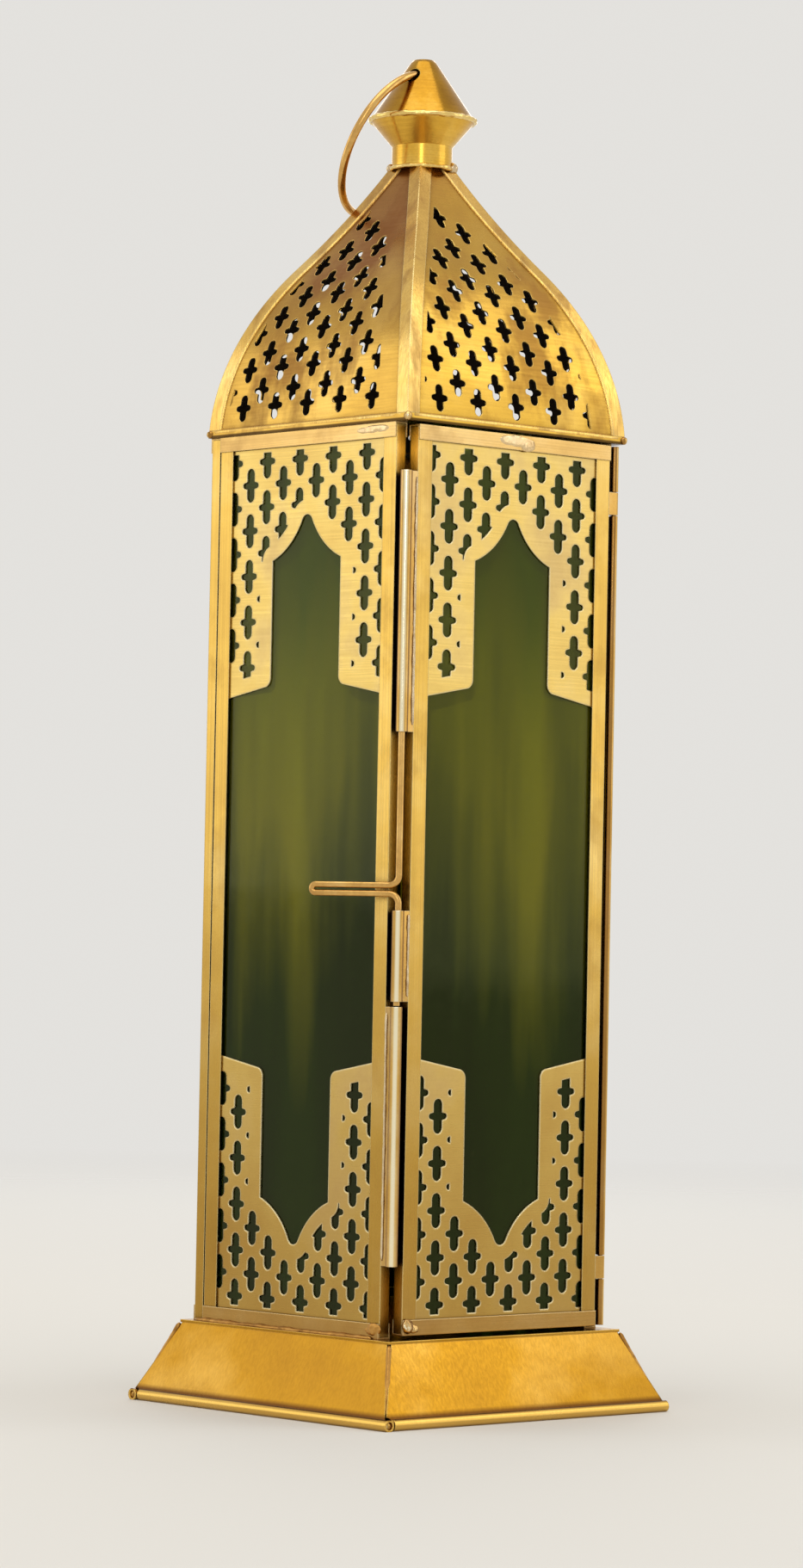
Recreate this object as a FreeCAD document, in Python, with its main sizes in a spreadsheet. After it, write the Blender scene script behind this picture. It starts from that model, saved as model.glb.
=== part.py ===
import FreeCAD, Part
import math
import os
import re

import Sketcher
from FreeCAD import Placement, Rotation, Vector

# Candle lantern of folded brass sheet: a square glazed body on a flared foot, pierced panels,
# a pierced ogee roof with a turned finial and a hanging ring, and a door with a drop bolt.
# Millimetres. Origin under the middle of the foot, +Z up, door facing -Y, hinge at +X, bolt at -X.

UP = Vector(0, 0, 1)
ACROSS = Vector(1, 0, 0)

doc = FreeCAD.newDocument("candle_lantern")
sheet = doc.addObject("Spreadsheet::Sheet", "Sizes")
layout = doc.addObject("App::VarSet", "Layout")

# Driving dimensions, each with what it measures.
sizes = {
    # Foot
    "base_half": (54.9, "axis to the middle of the rolled foot bead"),
    "base_height": (24.0, "table to the top of the floor plate"),
    "bead_radius": (1.75, "outside radius of the rolled bead"),
    "bead_gap": (0.5, "end of a bead to the side of the next"),
    "bead_flat": (0.15, "worn off the underside of the bead"),
    "ledge_half": (46.0, "half the side of the floor plate"),
    "floor_thick": (0.8, "floor plate thickness"),
    "skirt_thick": (0.6, "skirt sheet thickness"),
    "seam_top": (0.6, "half the open seam between two skirts at the floor plate"),
    "seam_low": (0.1, "half that seam at the table"),
    "cup_bore": (20.0, "inside radius of the candle cup"),
    "cup_depth": (9.0, "depth of the candle cup"),
    "cup_wall": (0.6, "candle cup sheet thickness"),
    # Body panels
    "body_half": (43.0, "axis to the face of the stiles"),
    "body_height": (262.0, "height of the fixed panels"),
    "strip_thick": (0.5, "sheet thickness of the channel strips"),
    "fret_thick": (0.5, "sheet thickness of the pierced plates"),
    "glass_thick": (2.0, "glass thickness"),
    "slack": (0.1, "play of glass and plates in the channels"),
    "stile_width": (5.4, "visible width of a stile"),
    "rail_width": (4.4, "visible width of a rail"),
    "latch_notch": (4.5, "open notch at the latch corner"),
    "hinge_notch": (4.5, "open notch at the hinge corner"),
    "sill_gap": (1.2, "door to floor plate"),
    "head_gap": (0.7, "door to roof seat"),
    # Pierced plates
    "column_step": (7.3, "between columns of crosses"),
    "row_pitch": (13.5, "between crosses in one column"),
    "first_row": (3.8, "rail edge to the first row of crosses"),
    "top_border": (1.15, "plain edge under the rail"),
    "cross_height": (10.0, "height of a pierced cross"),
    "cross_bar": (3.4, "width of its upright bar"),
    "cross_reach": (3.5, "middle of a cross to the tip of its arm"),
    "arm_root": (1.1, "half the arm's height at the bar"),
    "arm_tip": (0.85, "radius of the arm's tip"),
    "window_half": (15.0, "half the width of the arched window"),
    "apex_drop": (20.3, "rail edge to the point of the arch"),
    "apex_half": (2.3, "half the width of the rounded point"),
    "apex_round": (1.6, "height of the rounded point"),
    "shoulder_drop": (33.3, "rail edge to the shoulders of the arch"),
    "arch_sag": (1.6, "bow of the arch between point and shoulder"),
    "arm_drop": (70.0, "rail edge to the inner end of the side arms"),
    "arm_flare": (4.2, "extra length of the side arms at the stile"),
    "arm_round": (2.0, "corner radius of the side arms"),
    "band": (4.5, "plain band round the arch"),
    "side_band": (5.5, "plain band beside the window's straight sides"),
    "lower_extra": (0.8, "extra length of the side arms of a lower plate"),
    # Roof
    "seat_thick": (0.8, "thickness of the frame that the roof sits on"),
    "seat_width": (7.0, "width of that frame"),
    "roof_inset": (0.2, "face of the rails to the roof sheet at the rim"),
    "roof_height": (81.0, "rim to the top edge of the roof"),
    "roof_top_half": (6.4, "half the side of the roof's top opening"),
    "roof_arc": (91.0, "radius of the roof's swelling"),
    "roof_hollow": (243.0, "radius of the hollow above the swelling"),
    "roof_lean": (2.2, "degrees that the rim leans inwards"),
    "roof_thick": (0.5, "roof sheet thickness"),
    "hem_height": (2.2, "height of the folded hem at the rim"),
    "rib_width": (4.6, "width of a corner rib's leg"),
    "rib_thick": (0.6, "thickness of the corner ribs and the hem"),
    "roof_pitch": (11.8, "between crosses in one column on the roof"),
    "roof_stagger": (5.1, "rise from a row of crosses on the roof to the row between"),
    "roof_margin": (6.3, "plain strip at the left corner of a roof side"),
    "roof_lap": (12.5, "plain strip at its right corner"),
    "roof_plain": (13.0, "plain strip under the top edge"),
    "roof_cross": (8.0, "height of a cross on the roof"),
    "roof_bar": (2.9, "width of its upright bar"),
    "roof_reach": (3.2, "middle of that cross to the tip of its arm"),
    "front_column": (7.6, "between columns of crosses on the roof's front"),
    "front_shift": (0.0, "middle of the roof's front to a cross of its first row"),
    "front_first": (7.5, "rim to the first row on the roof's front"),
    "right_column": (7.3, "the same three on the roof's right"),
    "right_shift": (-4.3, "middle to a cross"),
    "right_first": (6.2, "rim to the first row"),
    "back_column": (7.3, "the same three on the roof's back"),
    "back_shift": (5.2, "middle to a cross"),
    "back_first": (7.0, "rim to the first row"),
    "left_column": (7.1, "the same three on the roof's left"),
    "left_shift": (-1.2, "middle to a cross"),
    "left_first": (8.2, "rim to the first row"),
    # Finial and hanging ring
    "collar_radius": (9.0, "outside radius of the collar"),
    "collar_height": (7.0, "height of the collar"),
    "collar_hole": (4.0, "radius of the vent through the collar"),
    "finial_wall": (0.7, "sheet thickness of collar, funnel and cone"),
    "funnel_height": (7.4, "height of the funnel"),
    "finial_radius": (15.3, "radius of the finial's rim"),
    "cone_height": (18.6, "height of the cone"),
    "cone_top": (3.9, "radius of the cone's flat tip"),
    "tip_bevel": (0.8, "bevel round the tip"),
    "lip_height": (1.1, "height of the folded lip at the rim"),
    "lip_thick": (0.6, "thickness of that lip"),
    "ring_radius": (23.0, "radius of the ring at the middle of its wire"),
    "ring_wire": (2.4, "ring wire diameter"),
    "ring_drop": (5.4, "tip of the cone to the ring's holes"),
    "ring_play": (0.95, "play of the wire in the holes"),
    "ring_lean": (61.5, "degrees that the ring hangs below level"),
    "ring_turn": (20.0, "degrees that the ring's holes are turned from the door's line"),
    # Latch
    "bolt_wire": (1.9, "bolt wire diameter"),
    "tube_outer": (3.5, "outside diameter of the bolt's tubes"),
    "tube_bore": (2.4, "bore of the bolt's tubes"),
    "leaf_thick": (0.5, "thickness of the leaves of tubes and knuckles"),
    "bolt_inset": (0.5, "stile face to the bolt's axis"),
    "keeper_rise": (20.9, "floor plate to the keeper"),
    "keeper_length": (73.7, "length of the keeper tube"),
    "guide_gap": (1.5, "keeper to the lower guide"),
    "guide_length": (25.9, "length of the lower guide"),
    "upper_drop": (13.6, "top of the door to the upper guide"),
    "upper_length": (74.7, "length of the upper guide"),
    "bolt_lift": (2.0, "rest height of the bolt above its dropped place"),
    "tip_clear": (0.3, "bolt tip above the keeper at rest"),
    "loop_length": (26.0, "bolt axis to the tip of the finger loop"),
    "loop_gap": (2.4, "between the legs of the loop"),
    "bend_radius": (2.8, "bend between wire and loop"),
    "loop_turn": (60.0, "degrees from -X that the loop points towards +Y"),
    "bolt_hidden": (33.0, "wire inside the upper guide"),
    # Hinge
    "pin_diameter": (1.4, "hinge pin diameter"),
    "pin_play": (0.05, "radial play of the pin in the knuckles"),
    "barrel_outer": (2.5, "outside diameter of the knuckles"),
    "knuckle_height": (6.7, "height of a door knuckle"),
    "knuckle_inset": (13.7, "end of the door to its knuckle"),
    "knuckle_gap": (0.2, "between neighbouring knuckles"),
}

for row, (alias, (number, meaning)) in enumerate(sizes.items(), start=1):
    sheet.set(f"A{row}", meaning)
    sheet.set(f"B{row}", str(number))
    sheet.setAlias(f"B{row}", alias)

# Sizes worked out from the driving ones.
derived = {
    "depth": "2 * strip_thick + fret_thick + glass_thick + slack",
    "rail_depth": "depth + 2 * strip_thick",
    "back_butt": "body_half - depth - strip_thick",
    "latch_edge": "body_half - latch_notch",
    "hinge_edge": "body_half - hinge_notch",
    "bead_centre": "bead_radius - bead_flat",
    "bead_bore": "bead_radius - skirt_thick",
    "floor_low": "base_height - floor_thick",
    "panel_top": "base_height + body_height",
    "door_base": "base_height + sill_gap",
    "door_height": "body_height - sill_gap - head_gap",
    "fret_front": "strip_thick",
    "glass_front": "strip_thick + fret_thick",
    "roof_half": "body_half + strip_thick - roof_inset",
    "roof_top": "panel_top + roof_height",
    "collar_top": "roof_top + collar_height",
    "rim_top": "collar_top + funnel_height",
    "finial_top": "rim_top + cone_height",
    "ring_axis": "finial_top - ring_drop",
    "rim_wall": "1.5 * finial_wall",
    "cone_slope": "(finial_radius - cone_top) / (cone_height - tip_bevel - lip_height)",
    "ring_wall": "cone_top + (ring_drop - tip_bevel) * cone_slope",
    "ring_arm": "sqrt(ring_radius * ring_radius - ring_wall * ring_wall)",
    "bolt_axis": "body_half - bolt_inset",
    "keeper_low": "base_height + keeper_rise",
    "keeper_top": "keeper_low + keeper_length",
    "guide_low": "keeper_top + guide_gap",
    "guide_top": "guide_low + guide_length",
    "upper_low": "door_base + door_height - upper_drop - upper_length",
    "hinge_axis": "body_half - barrel_outer / 2",
    "knuckle_bore": "pin_diameter / 2 + pin_play",
}


def bound(expression):
    """The expression with each size's name led by the object that holds it."""
    def owner(match):
        word = match.group(0)
        if word in sizes:
            return "Sizes." + word
        if word in derived:
            return "Layout." + word
        return word
    return re.sub(r"[a-z][a-z_]*", owner, expression)


for name, expression in derived.items():
    layout.addProperty("App::PropertyFloat", name)
    layout.setExpression(name, bound(expression))
doc.recompute()


def size(name):
    """The present value of a driving or derived size."""
    return float(getattr(sheet if name in sizes else layout, name))


pieces = []


def keep(piece, label):
    """Name a finished sub-part and put it on the list to be written."""
    piece.Label = label
    pieces.append(piece)
    return piece


def place(piece, x="0", y="0", z="0", rotation=Rotation()):
    """Turn a piece, and tie its position to the sizes."""
    piece.Placement = Placement(Vector(), rotation)
    for axis, expression in zip("xyz", (x, y, z)):
        piece.setExpression("Placement.Base." + axis, bound(expression))


# Sketched bodies


def plane(body, role):
    return next(feature for feature in body.Origin.OriginFeatures if feature.Role == role)


def draw_outline(sketch, corners):
    """A closed outline of straight sides, each corner tied to expressions of the sizes."""
    count = len(corners)
    first = sketch.GeometryCount
    # The sides start as a regular polygon, and the constraints then move its corners.
    centre = Vector(20, 20, 0)
    spoke = Vector(10, 0, 0)
    for index in range(count):
        turns = [Rotation(UP, 360 * step / count) for step in (index, index + 1)]
        ends = [centre + turn.multVec(spoke) for turn in turns]
        sketch.addGeometry(Part.LineSegment(*ends), False)
    for index in range(count):
        following = first + (index + 1) % count
        sketch.addConstraint(Sketcher.Constraint("Coincident", first + index, 2, following, 1))
    for index, corner in enumerate(corners):
        for kind, axis, expression in zip(("DistanceX", "DistanceY"), (-2, -1), corner):
            line = first + index
            if expression == "0":
                sketch.addConstraint(Sketcher.Constraint("PointOnObject", line, 1, axis))
                continue
            number = sketch.addConstraint(Sketcher.Constraint(kind, -1, 1, line, 1, centre.x))
            sketch.setExpression(f"Constraints[{number}]", bound(expression))


def outline_body(name, role, corners):
    body = doc.addObject("PartDesign::Body", name)
    sketch = body.newObject("Sketcher::SketchObject", name + "_outline")
    sketch.AttachmentSupport = [(plane(body, role), "")]
    sketch.MapMode = "FlatFace"
    draw_outline(sketch, corners)
    return body, sketch


def padded(name, role, corners, length):
    """A straight strip or plate: an outline drawn on a plane and pushed out to a length."""
    body, sketch = outline_body(name, role, corners)
    pad = body.newObject("PartDesign::Pad", name + "_pad")
    pad.Profile = sketch
    pad.setExpression("Length", bound(length))
    return body


def turned(name, corners):
    """A turned or spun piece: half its section, as radius and height, spun about +Z."""
    body, sketch = outline_body(name, "XZ_Plane", corners)
    spin = body.newObject("PartDesign::Revolution", name + "_spin")
    spin.Profile = sketch
    spin.ReferenceAxis = (sketch, ["V_Axis"])
    spin.Angle = 360
    return body


def box(name, length, width, height):
    piece = doc.addObject("Part::Box", name)
    for prop, expression in zip(("Length", "Width", "Height"), (length, width, height)):
        piece.setExpression(prop, bound(expression))
    return piece


def cylinder(name, radius, height):
    piece = doc.addObject("Part::Cylinder", name)
    piece.setExpression("Radius", bound(radius))
    piece.setExpression("Height", bound(height))
    return piece


def joined(kind, name, base, tool):
    piece = doc.addObject(kind, name)
    piece.Base = base
    piece.Tool = tool
    return piece


def shaped(label, shape, placement=Placement()):
    """A sub-part whose folded or pierced form is worked out below."""
    piece = doc.addObject("Part::Feature", label)
    piece.Shape = shape
    piece.Placement = placement
    return keep(piece, label)


# Foot


def plan_triangle(inset, reach, level):
    """Plan of one side of the lantern between its corner planes, drawn in from them by an inset."""
    far = -inset - reach
    points = [Vector(0, -inset, level), Vector(-reach, far, level), Vector(reach, far, level)]
    return Part.makePolygon(points + points[:1])


def make_skirts():
    """Four flared skirts, mitred at the corners, each rolled into a hollow bead at the table."""
    thick = size("skirt_thick")
    bead = size("bead_radius")
    centre = Vector(0, -size("base_half"), size("bead_centre"))
    top_edge = Vector(0, -size("ledge_half"), size("floor_low"))
    # The sheet's outer face runs from the floor plate down to the bead's bore, where it curls outwards.
    apart = centre - top_edge
    turn = math.asin(size("bead_bore") / apart.Length)
    down = Rotation(ACROSS, -math.degrees(turn)).multVec(apart).normalize()
    sheet_end = top_edge + down * (apart.Length * math.cos(turn))
    inward = Vector(0, -down.z, down.y) * thick
    # The inner face is carried up to the floor plate, so that the top edge is level.
    top_inner = top_edge + inward + down * (inward.z / -down.z)
    section = [sheet_end, top_edge, top_inner, sheet_end + inward]
    reach = 2 * size("base_half")
    plate = Part.Face(Part.makePolygon(section + section[:1])).extrude(ACROSS * (2 * reach))
    plate.translate(ACROSS * -reach)
    # The seam between two skirts narrows downwards.
    insets = [size(name) * math.sqrt(2) for name in ("seam_low", "seam_top")]
    plans = [plan_triangle(inset, reach, level) for inset, level in zip(insets, (0, size("floor_low")))]
    plate = plate.common(Part.makeLoft(plans, True, True))
    # One end of a bead passes the corner, and the other stops at the side of the next bead.
    short = size("base_half") - bead - size("bead_gap")
    start = centre - ACROSS * short
    length = short + size("base_half") + bead
    roll = Part.makeCylinder(bead, length, start, ACROSS)
    bore = Part.makeCylinder(size("bead_bore"), length, start, ACROSS)
    passing = Part.makeCylinder(bead + size("bead_gap"), length, start, ACROSS)
    passing.rotate(Vector(), UP, -90)
    ground = Part.makeBox(2 * reach, 2 * reach, size("base_height"), Vector(-reach, -reach, 0))
    skirt = plate.cut(passing).fuse(roll).cut(bore).common(ground).removeSplitter()
    for turn, side in enumerate(("front", "right", "back", "left")):
        shaped("base_skirt_" + side, skirt, Placement(Vector(), Rotation(UP, 90 * turn)))


def make_floor():
    side = "2 * ledge_half"
    floor = box("floor_plate", side, side, "floor_thick")
    place(floor, "-ledge_half", "-ledge_half", "floor_low")
    keep(floor, "floor_plate")
    outer = "cup_bore + cup_wall"
    cup = turned("candle_cup", [
        ("0", "0"), (outer, "0"), (outer, "cup_wall + cup_depth"), ("cup_bore", "cup_wall + cup_depth"),
        ("cup_bore", "cup_wall"), ("0", "cup_wall")])
    place(cup, z="base_height")
    keep(cup, "candle_cup")


# Body panels

# Each panel lies in its own frame: x to the right seen from outside, y inwards from the stile faces.
# Left and right ends, bottom, height and the quarter turns that bring the panel to its side.
panels = {
    "door": ("-latch_edge", "hinge_edge", "door_base", "door_height", 0),
    "right_panel": ("-hinge_edge", "body_half", "base_height", "body_height", 1),
    "back_panel": ("-back_butt", "body_half", "base_height", "body_height", 2),
    "left_panel": ("-back_butt", "latch_edge", "base_height", "body_height", 3),
}


def seat(piece, turn, x, y, z, rotation=Rotation()):
    """Put a piece at a place in its panel's frame, on the panel's side of the lantern."""
    inward = f"body_half - ({y})"
    spots = ((x, f"-({inward})"), (inward, x), (f"-({x})", inward), (f"-({inward})", f"-({x})"))
    place(piece, *spots[turn], z, Rotation(UP, 90 * turn).multiply(rotation))


def make_channels(panel, left, right, low, height, turn):
    """Two upright channels and two rails folded over their ends."""
    wide = f"({right}) - ({left})"
    top = f"{low} + {height}"
    stile = channel("stile_width", "depth")
    rail = channel("rail_width", "rail_depth", upright=True)
    upright = f"{height} - 2 * strip_thick"
    about_z = Rotation(UP, 180)
    about_x = Rotation(ACROSS, 180)
    edges = {"door": ("latch_stile", "hinge_stile")}.get(panel, ("left_stile", "right_stile"))
    first = padded(f"{panel}_{edges[0]}", "XY_Plane", stile, upright)
    seat(first, turn, left, "0", f"{low} + strip_thick")
    second = padded(f"{panel}_{edges[1]}", "XY_Plane", stile, upright)
    seat(second, turn, right, "depth", f"{low} + strip_thick", about_z)
    bottom = padded(f"{panel}_bottom_rail", "YZ_Plane", rail, wide)
    seat(bottom, turn, left, "-strip_thick", low)
    upper = padded(f"{panel}_top_rail", "YZ_Plane", rail, wide)
    seat(upper, turn, left, "depth + strip_thick", top, about_x)
    for piece in (first, second, bottom, upper):
        keep(piece, piece.Name)


def channel(width, depth, upright=False):
    """A U section with its web at the start and its two flanges reaching out to a width."""
    wall = "strip_thick"
    inner = f"{depth} - {wall}"
    corners = [("0", "0"), (width, "0"), (width, wall), (wall, wall),
               (wall, inner), (width, inner), (width, depth), ("0", depth)]
    return [(y, x) for x, y in reversed(corners)] if upright else corners


def make_glass(panel, left, right, low, height, turn):
    edge = "strip_thick + slack"
    glass = box(panel + "_glass", f"({right}) - ({left}) - 2 * ({edge})", "glass_thick",
                f"{height} - 2 * strip_thick - slack")
    seat(glass, turn, f"({left}) + {edge}", "glass_front", f"{low} + strip_thick")
    keep(glass, panel + "_glass")


def flat_line(*points):
    return Part.LineSegment(*[Vector(x, y, 0) for x, y in points]).toShape()


def flat_arc(*points):
    return Part.Arc(*[Vector(x, y, 0) for x, y in points]).toShape()


def cross_wire(height, bar, reach):
    """An upright cross: a round-ended bar with two arms that narrow to rounded tips."""
    top = height / 2
    half = bar / 2
    root = size("arm_root")
    tip = size("arm_tip")
    edges = [flat_arc((-half, top - half), (0, top), (half, top - half))]
    edges.append(flat_line((half, top - half), (half, root)))
    edges.append(flat_line((half, root), (reach - tip, tip)))
    edges.append(flat_arc((reach - tip, tip), (reach, 0), (reach - tip, -tip)))
    edges.append(flat_line((reach - tip, -tip), (half, -root)))
    edges.append(flat_line((half, -root), (half, half - top)))
    edges.append(flat_arc((half, half - top), (0, -top), (-half, half - top)))
    edges.append(flat_line((-half, half - top), (-half, -root)))
    edges.append(flat_line((-half, -root), (tip - reach, -tip)))
    edges.append(flat_arc((tip - reach, -tip), (-reach, 0), (tip - reach, tip)))
    edges.append(flat_line((tip - reach, tip), (-half, root)))
    edges.append(flat_line((-half, root), (-half, top - half)))
    return Part.Wire(edges)


def window_edges(half_width, extra):
    """Edge of a plate towards the window, from its left side to its right: arm, arch, arm."""
    half = size("window_half")
    inner = -size("arm_drop") - extra
    outer = inner - size("arm_flare")
    shoulder = -size("shoulder_drop")
    point = -size("apex_drop")
    base = point - size("apex_round")
    tip = size("apex_half")
    bend = size("arm_round")
    slope = size("arm_flare") / (half_width - half)
    corner = bend * (1 - math.sqrt(0.5))
    middle = Vector((half + tip) / 2, (shoulder + base) / 2, 0)
    chord = Vector(half - tip, shoulder - base, 0).normalize()
    bow = middle + Vector(chord.y, -chord.x, 0) * size("arch_sag")
    right = [
        flat_arc((tip, base), (bow.x, bow.y), (half, shoulder)),
        flat_line((half, shoulder), (half, inner + bend)),
        flat_arc((half, inner + bend), (half + corner, inner + corner), (half + bend, inner - bend * slope)),
        flat_line((half + bend, inner - bend * slope), (half_width, outer)),
    ]
    left = [edge.mirror(Vector(), ACROSS) for edge in right]
    return left + [flat_arc((-tip, base), (0, point), (tip, base))] + right, outer


def closed_by(edges, half_width, low, level):
    """The window's edge closed into an outline by two sides and a straight end at a level."""
    corners = [(half_width, low), (half_width, level), (-half_width, level), (-half_width, low)]
    sides = [flat_line(*pair) for pair in zip(corners, corners[1:])]
    return Part.Wire(Part.sortEdges(edges + sides)[0])


def pierced_plate(wide, extra):
    """A pierced plate with its arched window, flat on the drawing plane, rail edge at y = 0."""
    half_width = wide / 2 - size("strip_thick") - size("slack")
    top = size("rail_width") - size("strip_thick") - size("slack")
    edges, low = window_edges(half_width, extra)
    far = low - 2 * size("band") - size("arm_flare")
    outline = closed_by(edges, half_width, low, top)
    opening = closed_by(edges, half_width, low, far)
    grown = Part.Face(opening.makeOffset2D(size("band")))
    shoulder = -size("shoulder_drop")
    plain_half = size("window_half") + size("side_band")
    beside = Part.makePlane(2 * plain_half, shoulder - far, Vector(-plain_half, far, 0))
    # The plain rim keeps the piercing clear of the plate's edges.
    rim = size("slack") + size("strip_thick")
    corner = Vector(rim - half_width, far - size("top_border"), 0)
    field = Part.makePlane(2 * (half_width - rim), -far, corner)
    field = field.cut(grown).cut(beside)
    cross = Part.Face(cross_wire(size("cross_height"), size("cross_bar"), size("cross_reach")))
    crosses = []
    columns = 2 * math.ceil(half_width / size("column_step"))
    # The middle of every cross lies clear of the plain ends of the side arms.
    deepest = -low - size("arm_flare") - size("band")
    for column in range(columns):
        across = (column - (columns - 1) / 2) * size("column_step")
        stagger = 0.5 * ((column + columns // 2 + 1) % 2)
        down = size("first_row") + stagger * size("row_pitch")
        while down < deepest:
            copy = cross.copy()
            copy.translate(Vector(across, -down, 0))
            crosses.append(copy)
            down += size("row_pitch")
    smallest = size("arm_tip") * size("arm_tip")
    pierced = Part.makeCompound(crosses).common(field)
    holes = [face.OuterWire for face in pierced.Faces if face.Area > smallest]
    return Part.makeFace([outline] + holes, "Part::FaceMakerBullseye")


def make_frets(panel, left, right, low, height, turn):
    """The pierced plate at the top of a panel, and one turned upside down at its foot."""
    ends = [size(side.lstrip("-")) * (-1 if side.startswith("-") else 1) for side in (left, right)]
    middle = (ends[0] + ends[1]) / 2
    rise = size(low)
    wide = ends[1] - ends[0]
    thick = UP * size("fret_thick")
    # Stand the drawing up: y becomes height, and the thickness runs outwards from its back face.
    back = size("fret_front") + size("fret_thick")
    stand = Rotation(ACROSS, 90)
    side = Placement(Vector(), Rotation(UP, 90 * turn))
    face = -size("body_half") + back
    upper_edge = rise + size(height) - size("rail_width")
    upper = Placement(Vector(middle, face, upper_edge), stand)
    shaped(panel + "_upper_fret", pierced_plate(wide, 0.0).extrude(thick), side.multiply(upper))
    over = Rotation(Vector(0, 1, 0), 180).multiply(stand)
    lower = Placement(Vector(middle, face, rise + size("rail_width")), over)
    longer = pierced_plate(wide, size("lower_extra"))
    shaped(panel + "_lower_fret", longer.extrude(thick), side.multiply(lower))


# Roof


class RoofCurve:
    """Section of a roof side: a swelling arc from the rim, then a hollow one to the top."""

    def __init__(self):
        self.radius = size("roof_arc")
        self.hollow = size("roof_hollow")
        self.low = math.radians(size("roof_lean"))
        self.centre = (size("roof_half") - self.radius * math.cos(self.low),
                       size("panel_top") - self.radius * math.sin(self.low))
        out = size("roof_top_half") - self.centre[0]
        rise = size("roof_top") - self.centre[1]
        span = math.hypot(out, rise)
        both = self.radius + self.hollow
        # The arcs touch on the line between their centres, and the hollow one ends at the top.
        share = (span * span + both * both - self.hollow * self.hollow) / (2 * both * span)
        self.high = math.atan2(rise, out) - math.acos(share)
        self.far = (self.centre[0] + both * math.cos(self.high),
                    self.centre[1] + both * math.sin(self.high))
        top = math.atan2(self.far[1] - size("roof_top"), self.far[0] - size("roof_top_half"))
        self.bend = self.radius * (self.high - self.low)
        self.length = self.bend + self.hollow * (self.high - top)

    def point(self, along, offset=0.0):
        """Place and outward slope at a distance along the section, raised by an offset."""
        if along <= self.bend:
            angle = self.low + along / self.radius
            reach = self.radius + offset
            middle = self.centre
        else:
            angle = self.high - (along - self.bend) / self.hollow
            reach = offset - self.hollow
            middle = self.far
        out = middle[0] + reach * math.cos(angle)
        rise = middle[1] + reach * math.sin(angle)
        return Vector(0, -out, rise), angle

    def edges(self, start, end, offset):
        """The section's two arcs between two distances, raised by an offset."""
        arcs = []
        for first, last in ((start, self.bend), (self.bend, end)):
            spots = [self.point(along, offset)[0] for along in (first, (first + last) / 2, last)]
            arcs.append(Part.Arc(*spots).toShape())
        return arcs

    def strip(self, start, end, low, high, half_width):
        """A strip of sheet between two offsets, as wide as twice the half width."""
        inner = self.edges(start, end, low)
        outer = self.edges(start, end, high)
        caps = [Part.LineSegment(self.point(along, low)[0], self.point(along, high)[0]).toShape()
                for along in (start, end)]
        wire = Part.Wire(Part.sortEdges(inner + outer + caps)[0])
        return self.widen(wire, half_width)

    @staticmethod
    def widen(wire, half_width):
        solid = Part.Face(wire).extrude(ACROSS * (2 * half_width))
        solid.translate(ACROSS * -half_width)
        return solid


def corner_wedge(reach):
    """The room of one roof side: between its corner planes, from the rim's level to the top's."""
    return Part.Face(plan_triangle(0.0, reach, size("panel_top"))).extrude(UP * size("roof_height"))


def roof_piercing(curve, side, reach):
    """The punched crosses of one roof side, cut off at its plain edges."""
    wire = cross_wire(size("roof_cross"), size("roof_bar"), size("roof_reach"))
    thick = size("roof_thick")
    through = 2 * thick
    step = size(side + "_column")
    punches = []
    for stagger in (0, 1):
        along = size(side + "_first") + stagger * size("roof_stagger")
        while along < curve.length - size("roof_plain"):
            spot, angle = curve.point(along, -(thick + through) / 2)
            columns = math.ceil(-spot.y / step / 2) + 1
            for column in range(-columns, columns + 1):
                across = size(side + "_shift") + (2 * column + stagger) * step
                punch = Part.Face(wire).extrude(UP * through)
                turn = Rotation(ACROSS, 90 - math.degrees(angle))
                punch.Placement = Placement(Vector(across, spot.y, spot.z), turn)
                punches.append(punch)
            along += size("roof_pitch")
    left = size("roof_margin")
    right = size("roof_lap")
    plan = (((left - right) / 2, -(left + right) / 2), (left - reach, -reach), (reach - right, -reach))
    outline = [Vector(x, y, size("panel_top")) for x, y in plan]
    room = Part.Face(Part.makePolygon(outline + outline[:1])).extrude(UP * size("roof_height"))
    smallest = size("arm_tip") * size("arm_tip") * through
    kept = Part.makeCompound(punches).common(room).Solids
    return Part.makeCompound([punch for punch in kept if punch.Volume > smallest])


def make_petals(curve):
    """Four pierced sides with a folded hem along the rim, each cut from the sheet at its own place."""
    reach = 2 * size("roof_half")
    hem_end = size("hem_height")
    fold = size("rib_thick")
    blank = curve.strip(0.0, curve.length, -size("roof_thick"), 0.0, reach)
    hem_spots = ((0.0, 0.0), (hem_end, 0.0), (hem_end, fold), (0.0, fold), (0.0, 0.0))
    hem_wire = Part.makePolygon([curve.point(along, offset)[0] for along, offset in hem_spots])
    hem = RoofCurve.widen(hem_wire, reach)
    blank = blank.fuse(hem).common(corner_wedge(reach)).removeSplitter()
    for turn, side in enumerate(("front", "right", "back", "left")):
        petal = blank.cut(roof_piercing(curve, side, reach))
        shaped("roof_petal_" + side, petal, Placement(Vector(), Rotation(UP, 90 * turn)))


def make_ribs(curve):
    """Four folded strips that cover the roof's corners, from the hem to the top."""
    reach = 2 * size("roof_half")
    strip = curve.strip(size("hem_height"), curve.length, 0.0, size("rib_thick"), reach)
    wide = size("rib_width")
    level = size("panel_top")
    plan = ((0, 0), (-reach, -reach), (wide - reach, -reach), (wide, 0), (0, 0))
    outline = Part.makePolygon([Vector(x, y, level) for x, y in plan])
    side = Part.Face(outline).extrude(UP * size("roof_height"))
    leg = strip.common(side)
    rib = leg.fuse(leg.mirror(Vector(), Vector(1, -1, 0))).removeSplitter()
    for turn, corner in enumerate(("front_left", "front_right", "back_right", "back_left")):
        shaped("roof_rib_" + corner, rib, Placement(Vector(), Rotation(UP, 90 * turn)))


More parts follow.
